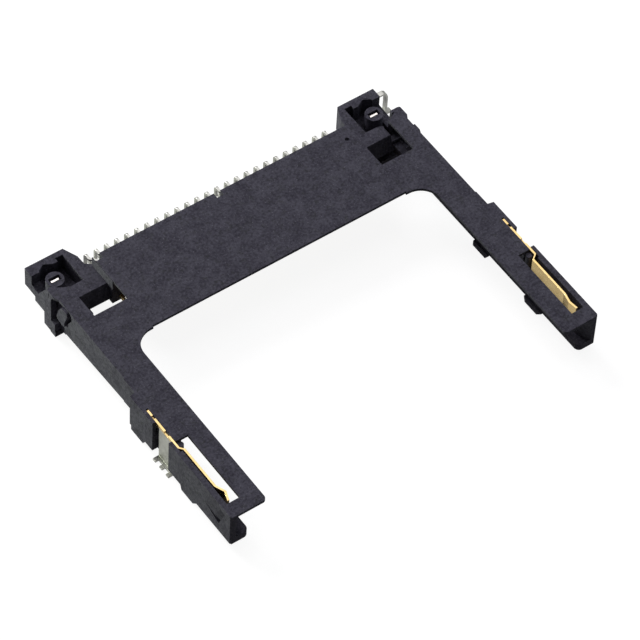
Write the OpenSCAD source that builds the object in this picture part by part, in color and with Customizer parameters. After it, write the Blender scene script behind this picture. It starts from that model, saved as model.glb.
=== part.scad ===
// Memory card socket: a U-shaped moulded housing that guides a 50-way card, with its pins and contacts.
// Millimetres. X runs across the socket, Y from the arm tips to the back, Z up from the circuit board.

/* [Card] */
// Width of the card between the arms
card_w = 42.8; // [42:0.1:43.4]
// Thickness of the card
card_t = 3.3; // [3:0.05:3.6]
// Play between the card and each side wall
side_play = 0.2; // [0.1:0.05:0.3]
// Play between the card and the flanges above and below it
face_play = 0.03; // [0.02:0.01:0.1]

/* [Pins] */
// Spacing of the pin columns
pin_pitch = 1.27; // [1.2:0.01:1.3]
// Spacing of the two pin rows
row_pitch = 1.27; // [1.1:0.01:1.4]
// Drop of the pin field below the middle of the card
row_drop = 0.43; // [0.3:0.01:0.5]
// Diameter of the mating pins
pin_d = 0.44; // [0.38:0.01:0.5]
// Mating length of the signal pins
pin_signal_len = 4.25; // [4:0.05:4.6]
// Mating length of the supply pins
pin_supply_len = 5; // [4.7:0.05:5.4]
// Mating length of the card detect pins
pin_detect_len = 3.5; // [3.2:0.05:3.9]
// Thickness of the pin tails
tail_t = 0.3; // [0.25:0.01:0.35]
// Distance of the tail legs behind the housing
tail_back = 1.95; // [1.8:0.05:2.2]
// Length of the soldered end of a tail
tail_foot = 1.1; // [0.8:0.1:1.4]
// Inner radius of the tail bends
tail_bend = 0.15; // [0.1:0.05:0.3]

/* [Header] */
// Thickness of the top plate and of the upper flanges
plate_t = 0.35; // [0.3:0.05:0.5]
// Depth of the header plate from back to front edge
header_depth = 10.95; // [10:0.1:12]
// Depth of the wall that holds the pins
wall_depth = 3.9; // [3.7:0.1:4.2]
// Distance from the outermost pin to the end of the plate
end_margin = 0.91; // [0.7:0.01:1.1]
// Radius of the inner corners between the header and the arms
corner_r = 2.3; // [1.5:0.1:2.6]

/* [Arms] */
// Distance from the back edge of the plate to the arm tips
arm_reach = 35.3; // [34.5:0.1:38]
// Reach of the upper flange over the card
upper_lap = 2.9; // [2.4:0.1:3.4]
// Reach of the lower flange under the card
lower_lap = 0.85; // [0.6:0.05:1.2]
// Thickness of the lower flange
flange_t = 0.9; // [0.7:0.05:1]
// Wall thickness of the rear half of an arm
web_rear = 0.6; // [0.5:0.05:0.7]
// Wall thickness of the front half of an arm
web_front = 1.4; // [1.3:0.05:1.6]
// Height of the feet below the lower flange
stand_off = 0.7; // [0.5:0.05:1]
// Length of the thick front half of an arm
front_len = 18.1; // [17.9:0.1:18.6]
// Play around the pins, strips and tabs that are held in the housing
press = 0.01; // [0.01:0.01:0.02]

/* [Corner bosses] */
// Drop of the boss top below the plate
boss_drop = 1.4; // [1.2:0.05:1.6]
// Reach of the boss behind the plate
boss_back = 3.5; // [3.3:0.1:3.8]
// Distance from the end of the header plate to the inner side of a boss
boss_gap = 1.45; // [1.35:0.05:1.6]
// Reach of the boss outside the card channel
boss_side = 0.7; // [0.65:0.05:0.8]
// Depth of the recess in the boss
recess_depth = 2.2; // [1.8:0.1:2.3]
// Outer diameter of the ring in the recess
ring_d = 2; // [1.8:0.1:2.2]
// Length of the slot in the ring
slot_l = 1.3; // [1:0.05:1.4]
// Width of the slot in the ring
slot_w = 0.7; // [0.6:0.05:0.8]
// Width of the hold-down blade in the slot
blade_w = 0.95; // [0.8:0.05:1]
// Thickness of the hold-down blade
blade_t = 0.25; // [0.2:0.01:0.3]
// Drop of the top of the blade below the top of the ring
blade_drop = 0.2; // [0.1:0.05:0.4]
// Width of the tab on the right corner
tab_w = 0.6; // [0.5:0.05:0.7]
// Reach of the tab outside the boss
tab_reach = 1.9; // [1.8:0.05:1.95]

/* [Contacts] */
// Thickness of the contact strip
strip_t = 0.25; // [0.2:0.01:0.27]
// Height of the contact leaf
leaf_h = 2; // [1.6:0.1:2.3]
// Width of the legs at the end of a contact tail
finger_w = 0.5; // [0.4:0.05:0.6]
// Reach of those legs outside the strip
leg_reach = 0.85; // [0.75:0.05:0.9]
// Distance of the strip outside the card channel
strip_off = 0.86; // [0.84:0.01:0.88]
// Step of the leaf towards the card
leaf_step = 0.5; // [0.46:0.01:0.52]
// Difference of that step between the middle and each of the two contacts
leaf_spread = 0.12; // [0:0.02:0.12]
// Distance from the arm tip to the window of the leaf
window_gap = 1.7; // [1.6:0.05:1.8]
// Length of the window of the leaf
window_l = 9.2; // [9:0.1:9.4]
// Reach of the window over the card
window_lap = 0.77; // [0.65:0.01:0.85]
// Length of the notch for the tail
notch_l = 2.9; // [2.8:0.05:3]
// Length of the slot behind the notch
slot_rear = 1.86; // [1.7:0.01:1.9]

/* [Hidden] */
$fn = 48;
cols = 25;
big = 100;

// Outline in X, measured from the middle of the socket.
chan_x = card_w / 2 + side_play;
step_x = pin_pitch * (cols - 1) / 2 + end_margin;
inner_x = chan_x - upper_lap;
lip_x = chan_x - lower_lap;
rear_x = chan_x + web_rear;
front_x = chan_x + web_front;
ridge_x = chan_x - 1.3;
wall_x = step_x + 0.1;
block_x = front_x - 0.05;

// Levels in Z, measured down from the top of the plate.
chan_top = -plate_t;
chan_bottom = chan_top - card_t - 2 * face_play;
flange_bottom = chan_bottom - flange_t;
board = flange_bottom - stand_off;
card_mid = (chan_top + chan_bottom) / 2;
upper_row = card_mid - row_drop + row_pitch / 2;
lower_row = card_mid - row_drop - row_pitch / 2;
boss_top = -boss_drop;
recess_floor = boss_top - recess_depth;

// Places in Y, measured from the back edge of the plate, negative towards the tips.
front_y = -header_depth;
wall_y = -wall_depth;
tip_y = -arm_reach;
back_y = (arm_reach - boss_back) / 2;

slab_y = wall_y + 0.2;
slab_bottom = boss_top - 1.65;
wall_bottom = lower_row - 0.65;
window_front = slab_y - 2.9;
shoulder_y = front_y - 0.2;

boss_out = chan_x + boss_side;
boss_in = step_x + boss_gap;
boss_low = -4.05;
side_in = chan_x - 0.3;
ring_x = chan_x - 1.2;
ring_y = 0.65;
mouth_y = tip_y + 1.4;
tip_r = 0.45;
lip_r = 0.6;

// Plan corners of the side foot and of the recess in the boss.
foot_back = -1.2;
foot_mid = -2.45;
foot_front = -3.2;
recess_back = 2.85;
side_notch = 2.2;
notch_right = -0.8;
notch_left = 0.95;

// Front half of an arm, each place at its distance behind the tip.
thick_y = tip_y + front_len;
window_tip = tip_y + window_gap;
window_back = window_tip + window_l;
notch_front = window_back + 0.2;
notch_back = notch_front + notch_l;
slot_back = notch_back + slot_rear;

// The strip of the ground contact stands in a slot of the arm; its leaf stands in the window.
strip_x = chan_x + strip_off;
strip_top = -0.05;
strip_low = strip_top - leaf_h;
jog_back = window_back - 0.8;
jog_front = jog_back - 0.45;
post_x = strip_x - 0.51;
window_in = chan_x - window_lap;
window_out = strip_x - leaf_step + leaf_spread + strip_t / 2 + 0.16;

// The corner tab stands in the side of the boss, behind its side notch.
tab_y = side_notch + 0.4;
tab_in = boss_out - 0.6;
tab_low = boss_top - 0.15 - strip_t;

PIN_UPPER = [for (i = [1:cols]) str("pin_u", i < 10 ? "0" : "", i)];
PIN_LOWER = [for (i = [1:cols]) str("pin_l", i < 10 ? "0" : "", i)];
METAL = ["contact_left", "contact_right", "hold_down_left", "hold_down_right", "corner_tab"];

// From the drawing origin, at the back edge of the plate top, to the middle of the footprint on the board.
module placed() {
    translate([0, back_y, -board])
        children();
}

module both() {
    children();
    mirror([1, 0, 0])
        children();
}

// A plan outline given a lower and an upper level.
module layer(low, high) {
    translate([0, 0, low])
        linear_extrude(high - low)
            children();
}

// A box from its lowest to its highest corner.
module block(a, b) {
    translate(a)
        cube(b - a);
}

// Outer side of an arm in plan, from its back end to the tip.
ARM_SIDE = [
    [front_x - 0.15, tip_y],
    [front_x, tip_y + 0.2],
    [front_x, thick_y],
    [rear_x + 0.1, thick_y + 0.15],
    [rear_x + 0.1, thick_y + 2.1],
    [rear_x, thick_y + 2.2],
    [rear_x, foot_mid - 0.45],
    [rear_x + 0.3, foot_mid + 0.05],
    [rear_x + 0.3, foot_back],
    [rear_x + 0.2, foot_back + 0.17],
    [chan_x + 0.5, foot_back + 0.15]
];

// Top plate with the upper flange of the right arm, seen from above.
module top_outline() {
    difference() {
        union() {
            translate([0, front_y])
                square([step_x, header_depth]);
            polygon(concat(
                [
                    [ridge_x, -1.95],
                    [ridge_x, window_front],
                    [step_x - 0.1, window_front],
                    [step_x - 0.1, shoulder_y],
                    [inner_x, shoulder_y],
                    [inner_x, tip_y + tip_r],
                    [inner_x + tip_r, tip_y]
                ],
                ARM_SIDE,
                [[ridge_x + 0.35, -1.9]]
            ));
            translate([inner_x + tip_r, tip_y + tip_r])
                circle(tip_r);
            difference() {
                translate([inner_x - corner_r, shoulder_y - corner_r])
                    square([corner_r + 0.1, corner_r + 0.1]);
                translate([inner_x - corner_r, shoulder_y - corner_r])
                    circle(corner_r);
            }
        }
    }
}

// Notches in the back edge of the plate, at the left end and near the middle.
module plate_notches() {
    low = -1.2;
    block([-step_x - 0.05, -0.75, low], [-step_x + 0.85, 1, 1]);
    block([-0.95, -0.68, low], [-0.1, 1, 1]);
}

// Outer wall of the right arm.
module web_outline() {
    polygon(concat(
        [[chan_x, -1.4], [chan_x, mouth_y], [front_x - 0.65, tip_y]],
        ARM_SIDE
    ));
}

// Lower flange of the right arm, with a rounded corner at the tip.
module lip_outline() {
    polygon([
        [lip_x, tip_y + lip_r],
        [lip_x + lip_r, tip_y],
        [front_x - 0.15, tip_y],
        [front_x, tip_y + 0.2],
        [front_x, thick_y],
        [rear_x + 0.1, thick_y + 0.15],
        [rear_x, thick_y + 2.2],
        [rear_x, foot_mid - 0.1],
        [lip_x, foot_mid - 0.1]
    ]);
    translate([lip_x + lip_r, tip_y + lip_r])
        circle(lip_r);
}

// A foot under the right arm, given its side profile in Y and Z.
module arm_foot(profile) {
    translate([lip_x - 0.25, 0, 0])
        rotate([90, 0, 90])
            linear_extrude(front_x - lip_x + 0.25)
                polygon(profile);
}

module arm_feet() {
    root = flange_bottom + 0.1;
    rear = thick_y - 0.25;
    front = window_tip + 7.25;
    // Rear foot: upright behind, sloping in front.
    arm_foot([[rear, root], [rear, board], [rear - 2.15, board], [rear - 2.65, root]]);
    // Front foot: sloping on both sides.
    arm_foot([[front, root], [front - 0.25, board], [front - 2.25, board], [front - 3, root]]);
}

// Chamfer under the outer side of the rear half; it grows towards the tips.
module rear_chamfer() {
    translate([rear_x, wall_y - 0.15, flange_bottom + 0.2])
        rotate([-2.9, 0, 0])
            rotate([90, 0, 0])
                linear_extrude(thick_y > wall_y ? 1 : wall_y - thick_y - 0.5)
                    polygon([[0.4, 0.4], [-1.3, -1.3], [0.4, -1.3]]);
}

// A form running along X from one place to another, given its side profile in Y and Z.
module profile(x1, x2) {
    translate([x1, 0, 0])
        rotate([90, 0, 90])
            linear_extrude(x2 - x1)
                children();
}

// Corner of the housing; the notch in its outer side ends at the given place in Y.
module corner(notch_end) {
    // Platform of the boss.
    layer(boss_low, boss_top)
        polygon([
            [step_x - 0.1, -0.5],
            [step_x - 0.1, 0],
            [boss_in - 0.8, 0.6],
            [boss_in - 0.75, 1.8],
            [boss_in, boss_back],
            [boss_out, boss_back],
            [boss_out, foot_back],
            [ridge_x - 0.3, foot_back - 0.4],
            [ridge_x - 0.3, -0.5]
        ]);
    // Its outer side reaches further down in front.
    block([side_in, foot_back - 0.1, boss_low - 0.7], [boss_out, 1.55, boss_low + 0.1]);
    // Ramp from the notch in the outer side up to the arm.
    profile(side_in, boss_out)
        polygon([
            [foot_back - 0.1, boss_low],
            [foot_back - 0.1, -0.05],
            [foot_back + 0.25, -0.05],
            [notch_end, -3],
            [notch_end, boss_low]
        ]);
    // Slab between the boss and the corner window, with a sloping front.
    profile(step_x - 0.1, ridge_x - 0.25)
        polygon([
            [wall_y + 1.07, boss_top],
            [-0.4, boss_top],
            [-0.4, slab_bottom],
            [slab_y, slab_bottom]
        ]);
    // Inner back corner that reaches down nearly to the board.
    layer(board + 0.3, boss_top)
        polygon([
            [boss_in - 0.75, 1.8],
            [boss_in, boss_back],
            [boss_in + 0.6, boss_back],
            [boss_in + 0.6, 1.8]
        ]);
    // Foot at the corner, beside and under the boss.
    block([chan_x - 3, foot_mid, board + 0.15], [block_x, foot_back, -3.3]);
    block([chan_x - 3.35, foot_front - 0.1, board], [block_x, foot_mid + 0.1, -4.6]);
    block([chan_x + 0.3, foot_front, board], [block_x, foot_mid + 0.1, -3.35]);
    side_foot();
    side_rib();
}

// Outer side of the foot, which leans out towards the board; its front edge leans forward.
module side_foot() {
    intersection() {
        profile(chan_x + 0.4, block_x)
            polygon([
                [foot_back, board + 0.15],
                [foot_back, -0.3],
                [foot_mid + 0.25, -0.3],
                [foot_mid + 0.7, -1],
                [foot_mid - 0.05, -3.4],
                [foot_mid - 0.05, board + 0.15]
            ]);
        translate([0, foot_back + 1, 0])
            rotate([90, 0, 0])
                linear_extrude(3)
                    polygon([
                        [chan_x, board],
                        [chan_x, 0],
                        [rear_x + 0.25, 0],
                        [rear_x + 0.25, -1],
                        [block_x, -3.3],
                        [block_x, board]
                    ]);
    }
}

// Side profile of the rib that stands in the slot of the arm.
module rib_outline() {
    polygon([
        [-3.2, -1.2],
        [-2.83, -2.55],
        [-3.07, -2.8],
        [-4.05, -2.99],
        [-4.29, -2.79],
        [-4.31, -2.19],
        [-4.91, -0.52],
        [-4.7, -0.2],
        [-3.8, -0.2]
    ]);
}

module side_rib() {
    profile(rear_x - 0.2, rear_x + 0.3)
        rib_outline();
}

// Slot through the arm on both sides of the rib.
module rib_slot() {
    profile(chan_x - 0.1, rear_x + 1)
        difference() {
            polygon([
                [foot_back - 0.1, chan_top - 0.01],
                [foot_back - 0.1, -3.4],
                [-3.4, -3.7],
                [-3.8, -3.6],
                [-5.25, -1.1],
                [-5.15, chan_top - 0.01]
            ]);
            rib_outline();
        }
}

module corner_cuts(notch_end) {
    // Recess in the boss.
    layer(recess_floor, 0.1)
        polygon([
            [boss_in + 0.45, -1.1],
            [boss_in + 0.45, recess_back],
            [boss_in + 1.35, recess_back],
            [boss_in + 1.35, recess_back - 0.5],
            [ring_x - 0.9, recess_back - 0.5],
            [ring_x + 0.05, recess_back],
            [side_in, recess_back - 0.5],
            [side_in, foot_back - 0.5],
            [ridge_x - 0.15, foot_back - 0.5],
            [ridge_x - 0.15, -1.35],
            [ring_x - 0.9, -1.15]
        ]);
    // Notch in the outer side.
    profile(side_in - 0.1, front_x + 1)
        polygon([
            [side_notch, 1],
            [side_notch, -2.8],
            [notch_end, -3],
            [foot_back + 0.25, -0.05],
            [foot_back + 0.25, 1]
        ]);
}

module hollow_corner(notch_end) {
    difference() {
        corner(notch_end);
        corner_cuts(notch_end);
    }
}

module ring() {
    layer(recess_floor - 0.2, boss_top - 0.15)
        translate([ring_x, ring_y])
            circle(d = ring_d);
}

module ring_slot() {
    translate([ring_x - slot_l / 2, ring_y - slot_w / 2, -big])
        cube([slot_l, slot_w, 2 * big]);
}

// Slot for the strip, pocket and window for the leaf, and the notch for the tail.
module contact_cuts() {
    strip_in = strip_x - strip_t / 2 - press;
    strip_out = strip_x + strip_t / 2 + press;
    block([strip_in, jog_front - 0.1, strip_low - press], [strip_out, slot_back, 0.1]);
    block([strip_in, notch_front, -big], [front_x + 1, notch_back, 0.1]);
    block([strip_in, notch_front - 0.6, -big], [strip_out, notch_back, 0.1]);
    difference() {
        union() {
            block([chan_x - 0.1, window_tip, chan_bottom + 0.2], [window_out, window_back, 0.1]);
            block([window_in, window_tip, chan_top - 0.1], [window_out, window_back, 0.1]);
        }
        // Round post at the back end of the pocket.
        layer(chan_bottom, -0.3)
            translate([post_x, window_back - 0.4])
                circle(0.34);
    }
}

// Wedge-shaped catch in the outer side of an arm near the tip.
module catch_cut() {
    translate([front_x, tip_y + 1.65, -2.1])
        rotate([21, 0, 0])
            translate([0, 0, -1.35])
                linear_extrude(2.7)
                    polygon([[-0.35, 0], [0.3, 0], [0.3, 3], [0, 2.6], [-0.12, 0.9]]);
}

// Small round mark in the plate at the right end.
module top_pit() {
    layer(-0.2, 1)
        translate([step_x - 1.05, -1.7])
            circle(0.25);
}

module pin_holes() {
    for (i = [1:cols])
        for (z = [upper_row, lower_row])
            translate([pin_x(i), 0.5, z])
                rotate([90, 0, 0])
                    cylinder(d = pin_d + 2 * press, h = wall_depth + 1);
}

module housing() {
    color([0.25, 0.25, 0.28])
        placed()
            difference() {
                union() {
                    both() {
                        layer(chan_top, 0)
                            top_outline();
                        difference() {
                            layer(flange_bottom, -0.1)
                                web_outline();
                            rib_slot();
                        }
                        layer(flange_bottom, chan_bottom)
                            lip_outline();
                        arm_feet();
                        ring();
                    }
                    hollow_corner(notch_right);
                    mirror([1, 0, 0])
                        hollow_corner(notch_left);
                    block([-wall_x, wall_y, wall_bottom], [wall_x, 0, -0.1]);
                }
                both() {
                    ring_slot();
                    contact_cuts();
                    catch_cut();
                    rear_chamfer();
                }
                plate_notches();
                top_pit();
                pin_holes();
                tab_slot();
            }
}

function pin_x(i) = (i - (cols + 1) / 2) * pin_pitch;

// The first and last pins of the rows are a supply and a detect pin; the middle one is a supply pin.
function upper_len(i) =
    i == 1 || i == (cols + 1) / 2 ? pin_supply_len : i == cols ? pin_detect_len : pin_signal_len;
function lower_len(i) =
    i == cols || i == (cols + 1) / 2 ? pin_supply_len : i == 1 ? pin_detect_len : pin_signal_len;

// One right-angle pin at the middle of the pin field; its tail steps aside by the given shift.
module pin(row, mate, shift) {
    tip_taper = 0.35;
    leg_y = tail_back - tail_t - tail_bend;
    translate([0, 0, row])
        rotate([90, 0, 0]) {
            translate([0, 0, -0.3])
                cylinder(d = pin_d, h = wall_depth + mate - tip_taper + 0.3);
            translate([0, 0, wall_depth + mate - tip_taper])
                cylinder(d1 = pin_d, d2 = pin_d / 2, h = tip_taper);
        }
    // Flat run with its step to the side.
    layer(row - tail_t / 2, row + tail_t / 2)
        polygon([
            [-tail_t / 2, -0.1],
            [-tail_t / 2, 0.35],
            [shift - tail_t / 2, 1.05],
            [shift - tail_t / 2, leg_y],
            [shift + tail_t / 2, leg_y],
            [shift + tail_t / 2, 1.05],
            [tail_t / 2, 0.35],
            [tail_t / 2, -0.1]
        ]);
    // Bend down.
    translate([shift, leg_y, row - tail_t / 2 - tail_bend])
        rotate([90, 0, 90])
            rotate_extrude(angle = 90)
                translate([tail_bend, -tail_t / 2])
                    square(tail_t);
    // Leg.
    block(
        [shift - tail_t / 2, tail_back - tail_t, board + tail_t + tail_bend],
        [shift + tail_t / 2, tail_back, row - tail_t / 2 - tail_bend]
    );
    // Bend out and soldered end.
    translate([shift, tail_back + tail_bend, board + tail_t + tail_bend])
        rotate([90, 0, 90])
            rotate([0, 0, 180])
                rotate_extrude(angle = 90)
                    translate([tail_bend, -tail_t / 2])
                        square(tail_t);
    block(
        [shift - tail_t / 2, tail_back + tail_bend, board],
        [shift + tail_t / 2, tail_back + tail_bend + tail_foot, board + tail_t]
    );
}

module upper_pin(i) {
    color([0.83, 0.7, 0.4])
        placed()
            translate([pin_x(i), 0, 0])
                pin(upper_row, upper_len(i), -pin_pitch / 2);
}

module lower_pin(i) {
    color([0.83, 0.7, 0.4])
        placed()
            translate([pin_x(i), 0, 0])
                pin(lower_row, lower_len(i), 0);
}

// Ground contact on the right side: strip in the slot, leaf in the window, tail in the notch.
module contact_strip(step) {
    t = strip_t / 2;
    leaf_x = strip_x - step;
    touch_x = chan_x;
    leaf_end = window_tip + 0.3;
    bulge = leaf_end + 1.1;
    bulge_back = bulge + 1.1;
    tail_rear = notch_back - 0.55;
    tail_front = notch_front - 0.5;
    difference() {
        layer(strip_low, strip_top)
            polygon([
                [strip_x - t, slot_back - 0.15],
                [strip_x + t, slot_back - 0.15],
                [strip_x + t, jog_back],
                [leaf_x + t, jog_front],
                [leaf_x + t, bulge_back],
                [touch_x + t, bulge],
                [leaf_x + t - 0.1, leaf_end],
                [leaf_x - t - 0.1, leaf_end],
                [touch_x - t, bulge],
                [leaf_x - t, bulge_back],
                [leaf_x - t, jog_front],
                [strip_x - t, jog_back]
            ]);
        // Neck behind the tail.
        block([strip_x - 1, tail_rear, strip_low - 0.1], [strip_x + 1, notch_back + 0.25, strip_top - 0.4]);
        // Notches in the top edge.
        block([strip_x - 1, notch_back + 0.45, strip_top - 0.2], [strip_x + 1, notch_back + 0.86, 0.1]);
        block([strip_x - 1, notch_front + 0.75, strip_top - 0.2], [strip_x + 1, notch_front + 1.43, 0.1]);
    }
    // Tail.
    block([strip_x - t, tail_front, board + strip_t], [strip_x + t, tail_rear, strip_low + 0.1]);
    // Flange along the board and its three legs.
    block([strip_x - t, tail_front, board], [strip_x + leg_reach / 2, tail_rear, board + strip_t]);
    for (y = [tail_rear - finger_w / 2, (tail_rear + tail_front) / 2, tail_front + finger_w / 2])
        block(
            [strip_x - t, y - finger_w / 2, board],
            [strip_x + leg_reach, y + finger_w / 2, board + strip_t]
        );
}

module contact_right() {
    color([0.85, 0.68, 0.35])
        placed()
            contact_strip(leaf_step + leaf_spread);
}

module contact_left() {
    color([0.85, 0.68, 0.35])
        placed()
            mirror([1, 0, 0])
                contact_strip(leaf_step - leaf_spread);
}

// Straight blade in the slot of a ring, from just below its top down to the board.
module hold_down() {
    color([0.8, 0.8, 0.8])
        placed()
            block(
                [ring_x - blade_w / 2, ring_y - blade_t / 2, board],
                [ring_x + blade_w / 2, ring_y + blade_t / 2, boss_top - 0.15 - blade_drop]
            );
}

module hold_down_right() {
    hold_down();
}

module hold_down_left() {
    mirror([1, 0, 0])
        hold_down();
}

// Slot in the side of the boss, just below its top, for the root of the corner tab.
module tab_slot() {
    block(
        [tab_in - press, tab_y - tab_w / 2 - press, tab_low - press],
        [boss_out + 1, tab_y + tab_w / 2 + press, tab_low + strip_t + press]
    );
}

// Tab on the right corner: out of the side of the boss, down to the board and out.
module corner_tab() {
    low = tab_low;
    out = boss_out + tab_reach;
    side = out - 0.65;
    color([0.8, 0.8, 0.8])
        placed()
            translate([0, tab_y + tab_w / 2, 0])
                rotate([90, 0, 0])
                    linear_extrude(tab_w)
                        polygon([
                            [tab_in, low],
                            [tab_in, low + strip_t],
                            [side - 0.6, low + strip_t],
                            [side - 0.2, low],
                            [side, low - 0.55],
                            [side, board + 1],
                            [side + 0.2, board + 0.4],
                            [out, board + strip_t],
                            [out, board],
                            [side - 0.05, board],
                            [side - strip_t, board + 0.5],
                            [side - strip_t, low - 0.6],
                            [side - 0.4, low - 0.2],
                            [side - 0.65, low]
                        ]);
}

housing();
contact_left();
contact_right();
hold_down_left();
hold_down_right();
corner_tab();
for (i = [1:cols]) upper_pin(i);
for (i = [1:cols]) lower_pin(i);
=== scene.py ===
"""Looks of the card socket: finishes of the housing and the metal, studio light, camera."""
from math import cos, radians, sin

import bpy
from mathutils import Matrix, Vector


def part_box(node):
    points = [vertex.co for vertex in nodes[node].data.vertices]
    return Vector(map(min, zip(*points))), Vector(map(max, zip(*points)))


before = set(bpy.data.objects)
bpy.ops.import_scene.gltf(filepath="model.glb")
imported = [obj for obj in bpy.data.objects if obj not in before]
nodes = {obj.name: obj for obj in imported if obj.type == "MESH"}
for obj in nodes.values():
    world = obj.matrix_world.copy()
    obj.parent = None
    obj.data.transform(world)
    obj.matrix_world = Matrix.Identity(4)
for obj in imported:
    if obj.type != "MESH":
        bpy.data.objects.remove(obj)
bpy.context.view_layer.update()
scene = bpy.context.scene

MM = 0.001

# The camera, as fitted to the photograph: angles in degrees, lens and sensor in millimetres.
AIM = Vector((1.216, -0.765, 0.0)) * MM
AZIMUTH = 38.185
ELEVATION = 52.292
ROLL = 3.624
DISTANCE = 440.36 * MM
LENS = 237.41
SENSOR_WIDTH = 36.0
CLIP_START = 0.01
CLIP_END = 20.0

# Where the plating changes, and over what length, in millimetres.
HEADER_BACK = 15.9
HEADER_FADE = 0.5
GOLD_RIM = 0.3
GOLD_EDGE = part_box("contact_left")[1].z / MM - GOLD_RIM
GOLD_FADE = 0.15
TAIL_FRONT = -9.2
TAIL_FADE = 0.1

# Shade of the floor and brightness of the surroundings, as shares of white.
FLOOR_SHADE = 0.22
FLOOR_LIFT = 0.9
FLOOR_GLOSS = 0.42
WORLD_LIGHT = 0.1
WORLD_GLOSS = 0.4

# Half the side of the floor, and how far it lies below the feet, in metres.
FLOOR_HALF = 1.5
FLOOR_DROP = 0.02 * MM

# Lamps, all turned to the origin: place and size in metres, power in watts, colour.
LAMPS = {
    "overhead": ((0.2, 0.3, 0.65), 0.8, 1.6, (0.98, 0.96, 1.0)),
    "back": ((-0.06, 0.6, 0.42), 0.4, 3.9, (0.98, 0.96, 1.0)),
    "left": ((-0.12, 0.1, 0.01), 0.025, 0.25, (0.92, 1.0, 0.8)),
    "right": ((0.6, -0.05, 0.2), 0.3, 0.7, (0.85, 0.95, 1.0)),
}

# Rounding of the edges, in metres and degrees.
MOULD_EDGE = 0.00006
STAMP_EDGE = 0.00003
PIN_EDGE = 0.00002
EDGE_SEGMENTS = 2
EDGE_ANGLE = 35.0
WELD_DISTANCE = 0.000001

# Noises of the finishes: scale per millimetre, detail, roughness.
PLASTIC_CLOUDS = (0.7, 3.0, 0.6)
PLASTIC_BLOTCHES = (1.6, 3.0, 0.65)
PLASTIC_GRAIN = (3.4, 3.0, 0.65)
PLASTIC_FIBRES = (6.0, 1.0, 0.4)
GOLD_CLOUDS = (0.9, 3.0, 0.6)
TIN_CLOUDS = (1.1, 3.0, 0.6)
METAL_GRAIN = (7.0, 2.0, 0.6)

# Values of a noise between which one colour, or one roughness, gives way to the other.
PLASTIC_RANGE = (0.38, 0.62)
METAL_RANGE = (0.35, 0.65)
ROUGH_RANGE = (0.3, 0.7)

# Colours. Each finish varies between a darker and a lighter one.
WHITE = (1.0, 1.0, 1.0, 1.0)
PLASTIC = ((0.0413, 0.0391, 0.0533, 1.0), (0.0650, 0.0627, 0.0815, 1.0))
BLOTCH = (0.0350, 0.0360, 0.0370, 1.0)
PALE_GRAIN = (0.104, 0.101, 0.128, 1.0)
DARK_GRAIN = (0.018, 0.018, 0.024, 1.0)
FIBRE_END = (0.17, 0.165, 0.195, 1.0)
GOLD = ((0.80, 0.58, 0.24, 1.0), (0.92, 0.70, 0.33, 1.0))
TIN = ((0.42, 0.42, 0.39, 1.0), (0.55, 0.55, 0.51, 1.0))
# Lighter, warmer copy of the tin for the blades: a painted highlight.
HIGHLIT_TIN = ((0.82, 0.78, 0.72, 1.0), (0.95, 0.91, 0.86, 1.0))

# Surfaces: least and most roughness, and each bump as distance in metres and strength.
PLASTIC_ROUGH = (0.55, 0.7)
PLASTIC_SPECULAR = 0.05
FINE_BUMP = (0.00004, 0.5)
BROAD_BUMP = (0.00006, 0.35)
METAL_ROUGH = (0.2, 0.34)
METAL_BUMP = (0.00001, 0.5)
TIN_EXTRA_ROUGH = 0.15


def make_camera():
    data = bpy.data.cameras.new("camera")
    data.lens = LENS
    data.sensor_width = SENSOR_WIDTH
    data.clip_start = CLIP_START
    data.clip_end = CLIP_END
    azimuth, elevation = radians(AZIMUTH), radians(ELEVATION)
    forward = Vector((
        sin(azimuth) * cos(elevation),
        cos(azimuth) * cos(elevation),
        -sin(elevation),
    ))
    level = Vector((cos(azimuth), -sin(azimuth), 0.0))
    right = Matrix.Rotation(-radians(ROLL), 3, forward) @ level
    up = right.cross(forward)
    camera = bpy.data.objects.new("camera", data)
    turn = Matrix((right, up, -forward)).transposed().to_4x4()
    camera.matrix_world = Matrix.Translation(AIM - forward * DISTANCE) @ turn
    scene.collection.objects.link(camera)
    scene.camera = camera


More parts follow.
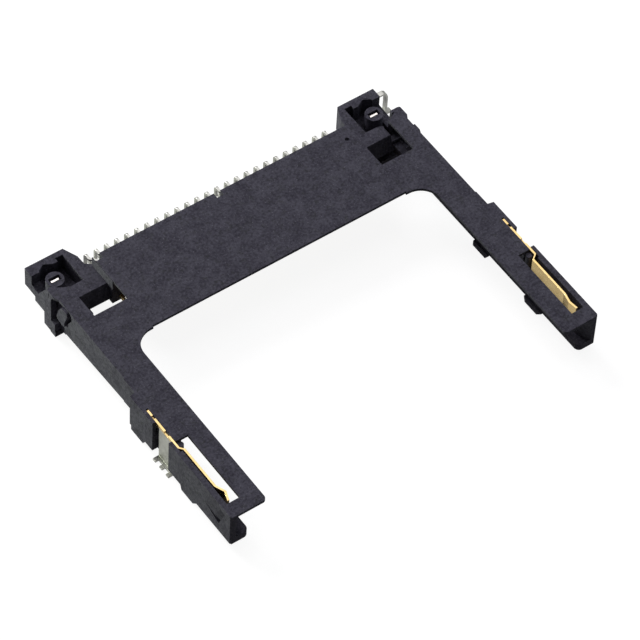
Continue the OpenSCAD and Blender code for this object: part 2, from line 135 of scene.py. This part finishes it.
class Nodes:
    """Short way to add and join the nodes of one material or world."""

    def __init__(self, name, kind="materials"):
        self.data = getattr(bpy.data, kind).new(name)
        self.data.use_nodes = True
        self.tree = self.data.node_tree
        self.tree.nodes.clear()
        self.output = self.add("OutputWorld" if kind == "worlds" else "OutputMaterial")

    def add(self, kind, inputs=None, **settings):
        node = self.tree.nodes.new("ShaderNode" + kind)
        for key, value in settings.items():
            setattr(node, key, value)
        for key, value in (inputs or {}).items():
            self.put(node.inputs[key], value)
        return node

    def put(self, socket, value):
        if isinstance(value, bpy.types.NodeSocket):
            self.tree.links.new(value, socket)
        else:
            socket.default_value = value

    def millimetres(self):
        """Object coordinates in millimetres."""
        inputs = {"Vector": self.add("TexCoord").outputs["Object"], "Scale": 1.0 / MM}
        return self.add("VectorMath", inputs, operation="SCALE").outputs["Vector"]

    def noise(self, place, scale, detail, rough):
        inputs = {"Vector": place, "Scale": scale, "Detail": detail, "Roughness": rough}
        return self.add("TexNoise", inputs).outputs["Fac"]

    def ramp(self, value, low, high, to_low=0.0, to_high=1.0):
        inputs = {"Value": value, "From Min": low, "From Max": high}
        inputs |= {"To Min": to_low, "To Max": to_high}
        return self.add("MapRange", inputs, clamp=True).outputs["Result"]

    def math(self, operation, *values):
        inputs = dict(enumerate(values))
        return self.add("Math", inputs, operation=operation).outputs["Value"]

    def mix(self, factor, first, second):
        inputs = {"Factor": factor, "A": first, "B": second}
        return self.add("Mix", inputs, data_type="RGBA").outputs["Result"]

    def bump(self, height, distance, strength, normal=None):
        inputs = {"Height": height, "Distance": distance, "Strength": strength}
        if normal:
            inputs["Normal"] = normal
        return self.add("Bump", inputs).outputs["Normal"]

    def close(self, kind, inputs):
        """Adds the last shader, joins it to the output and gives the material or world."""
        self.put(self.output.inputs["Surface"], self.add(kind, inputs).outputs[0])
        return self.data


def moulded_plastic():
    """Charcoal glass-filled plastic: mottled, with a fine grain and a few pale fibre ends."""
    m = Nodes("moulded_plastic")
    place = m.millimetres()
    clouds = m.noise(place, *PLASTIC_CLOUDS)
    blotches = m.noise(place, *PLASTIC_BLOTCHES)
    grain = m.noise(place, *PLASTIC_GRAIN)
    fibres = m.noise(place, *PLASTIC_FIBRES)
    colour = m.mix(m.ramp(clouds, *PLASTIC_RANGE), *PLASTIC)
    # A layer's noise, the values where the layer starts and is full, its share, its colour.
    layers = (
        (blotches, 0.54, 0.7, 0.7, BLOTCH),
        (grain, 0.46, 0.68, 0.5, PALE_GRAIN),
        (grain, 0.46, 0.3, 0.62, DARK_GRAIN),
        (fibres, 0.68, 0.76, 0.6, FIBRE_END),
    )
    for noise, start, full, share, cover in layers:
        colour = m.mix(m.ramp(noise, start, full, to_high=share), colour, cover)
    rough = m.ramp(blotches, *ROUGH_RANGE, *PLASTIC_ROUGH)
    fine = m.bump(grain, *FINE_BUMP)
    return m.close("BsdfPrincipled", {
        "Base Color": colour,
        "Roughness": rough,
        "Normal": m.bump(blotches, *BROAD_BUMP, fine),
        "Specular IOR Level": PLASTIC_SPECULAR,
    })


def clouded(m, place, noise, colours):
    """Slow change between the two colours of a metal."""
    return m.mix(m.ramp(m.noise(place, *noise), *METAL_RANGE), *colours)


def metal(m, place, colour, extra_rough):
    """Plated strip or wire: duller and brighter specks, and a very fine bump."""
    grain = m.noise(place, *METAL_GRAIN)
    rough = m.math("ADD", m.ramp(grain, *ROUGH_RANGE, *METAL_ROUGH), extra_rough)
    return m.close("BsdfPrincipled", {
        "Base Color": colour,
        "Roughness": rough,
        "Normal": m.bump(grain, *METAL_BUMP),
        "Metallic": 1.0,
    })


def plated(name, split):
    """Gold-plated copper alloy with a tinned tail; split(m, place) gives 1 where the tin is."""
    m = Nodes(name)
    place = m.millimetres()
    gold = clouded(m, place, GOLD_CLOUDS, GOLD)
    is_tin = split(m, place)
    colour = m.mix(is_tin, gold, clouded(m, place, TIN_CLOUDS, TIN))
    return metal(m, place, colour, m.math("MULTIPLY", is_tin, TIN_EXTRA_ROUGH))


def tinned(name, colours):
    """Copper alloy tinned all over."""
    m = Nodes(name)
    place = m.millimetres()
    return metal(m, place, clouded(m, place, TIN_CLOUDS, colours), TIN_EXTRA_ROUGH)


def behind_header(m, place):
    """Pins are tinned behind the back edge of the header."""
    y = m.add("SeparateXYZ", {"Vector": place}).outputs["Y"]
    return m.ramp(y, HEADER_BACK - HEADER_FADE, HEADER_BACK)


def below_top_edge(m, place):
    """The strip of a ground contact is tinned from just below its top edge down to the board."""
    parts = m.add("SeparateXYZ", {"Vector": place}).outputs
    low = m.ramp(parts["Z"], GOLD_EDGE, GOLD_EDGE - GOLD_FADE)
    back = m.ramp(parts["Y"], TAIL_FRONT - TAIL_FADE, TAIL_FRONT + TAIL_FADE)
    return m.math("MULTIPLY", low, back)


def soften(node, width):
    """Rounds the edges of a node a little, as moulding and stamping do."""
    weld = node.modifiers.new("weld", "WELD")
    weld.merge_threshold = WELD_DISTANCE
    bevel = node.modifiers.new("edges", "BEVEL")
    bevel.width = width
    bevel.segments = EDGE_SEGMENTS
    bevel.limit_method = "ANGLE"
    bevel.angle_limit = radians(EDGE_ANGLE)
    bevel.harden_normals = True


def dress(name, material, width):
    node = nodes[name]
    node.data.materials.clear()
    node.data.materials.append(material)
    soften(node, width)


def make_floor():
    """Pale floor that the camera sees as nearly white, apart from the shadow of the part."""
    m = Nodes("floor")
    path = m.add("LightPath")
    seen = m.math("MULTIPLY", path.outputs["Is Camera Ray"], FLOOR_LIFT)
    shown = m.math("MULTIPLY", path.outputs["Is Glossy Ray"], FLOOR_GLOSS)
    lift = m.math("ADD", seen, shown)
    diffuse = m.add("BsdfDiffuse", {"Color": (FLOOR_SHADE, FLOOR_SHADE, FLOOR_SHADE, 1.0)})
    glow = m.add("Emission", {"Color": WHITE, "Strength": lift})
    mesh = bpy.data.meshes.new("floor")
    corners = ((-1, -1), (1, -1), (1, 1), (-1, 1))
    points = [(x * FLOOR_HALF, y * FLOOR_HALF, 0) for x, y in corners]
    mesh.from_pydata(points, [], [(0, 1, 2, 3)])
    mesh.materials.append(m.close("AddShader", {0: diffuse.outputs[0], 1: glow.outputs[0]}))
    floor = bpy.data.objects.new("floor", mesh)
    floor.location.z = -FLOOR_DROP
    scene.collection.objects.link(floor)


def make_world():
    """White to the camera, bright to the metal, and a low even light on everything."""
    m = Nodes("studio", "worlds")
    path = m.add("LightPath")
    seen = m.ramp(path.outputs["Is Camera Ray"], 0.0, 1.0, WORLD_LIGHT, 1.0)
    shown = m.math("MULTIPLY", path.outputs["Is Glossy Ray"], WORLD_GLOSS - WORLD_LIGHT)
    strength = m.math("ADD", seen, shown)
    scene.world = m.close("Background", {"Color": WHITE, "Strength": strength})


def make_lamp(name, place, size, power, colour):
    data = bpy.data.lights.new(name, "AREA")
    data.shape = "DISK"
    data.size = size
    data.energy = power
    data.color = colour
    lamp = bpy.data.objects.new(name, data)
    lamp.location = place
    lamp.rotation_mode = "QUATERNION"
    lamp.rotation_quaternion = (-Vector(place)).to_track_quat("-Z", "Y")
    scene.collection.objects.link(lamp)


make_camera()
make_floor()
make_world()
for name, settings in LAMPS.items():
    make_lamp(name, *settings)

housing_finish = moulded_plastic()
contact_finish = plated("contact_metal", below_top_edge)
pin_finish = plated("pin_metal", behind_header)
tin_finish = tinned("tin", TIN)
# The blades get a lighter, warmer copy of the tin colours: a painted highlight on their tops.
blade_highlight_finish = tinned("tin_painted_highlight", HIGHLIT_TIN)

dress("housing", housing_finish, MOULD_EDGE)
for name in ("contact_left", "contact_right"):
    dress(name, contact_finish, STAMP_EDGE)
dress("corner_tab", tin_finish, STAMP_EDGE)
for name in ("hold_down_left", "hold_down_right"):
    dress(name, blade_highlight_finish, STAMP_EDGE)
for name in nodes:
    if name.startswith("pin_"):
        dress(name, pin_finish, PIN_EDGE)

scene.view_settings.view_transform = "Standard"
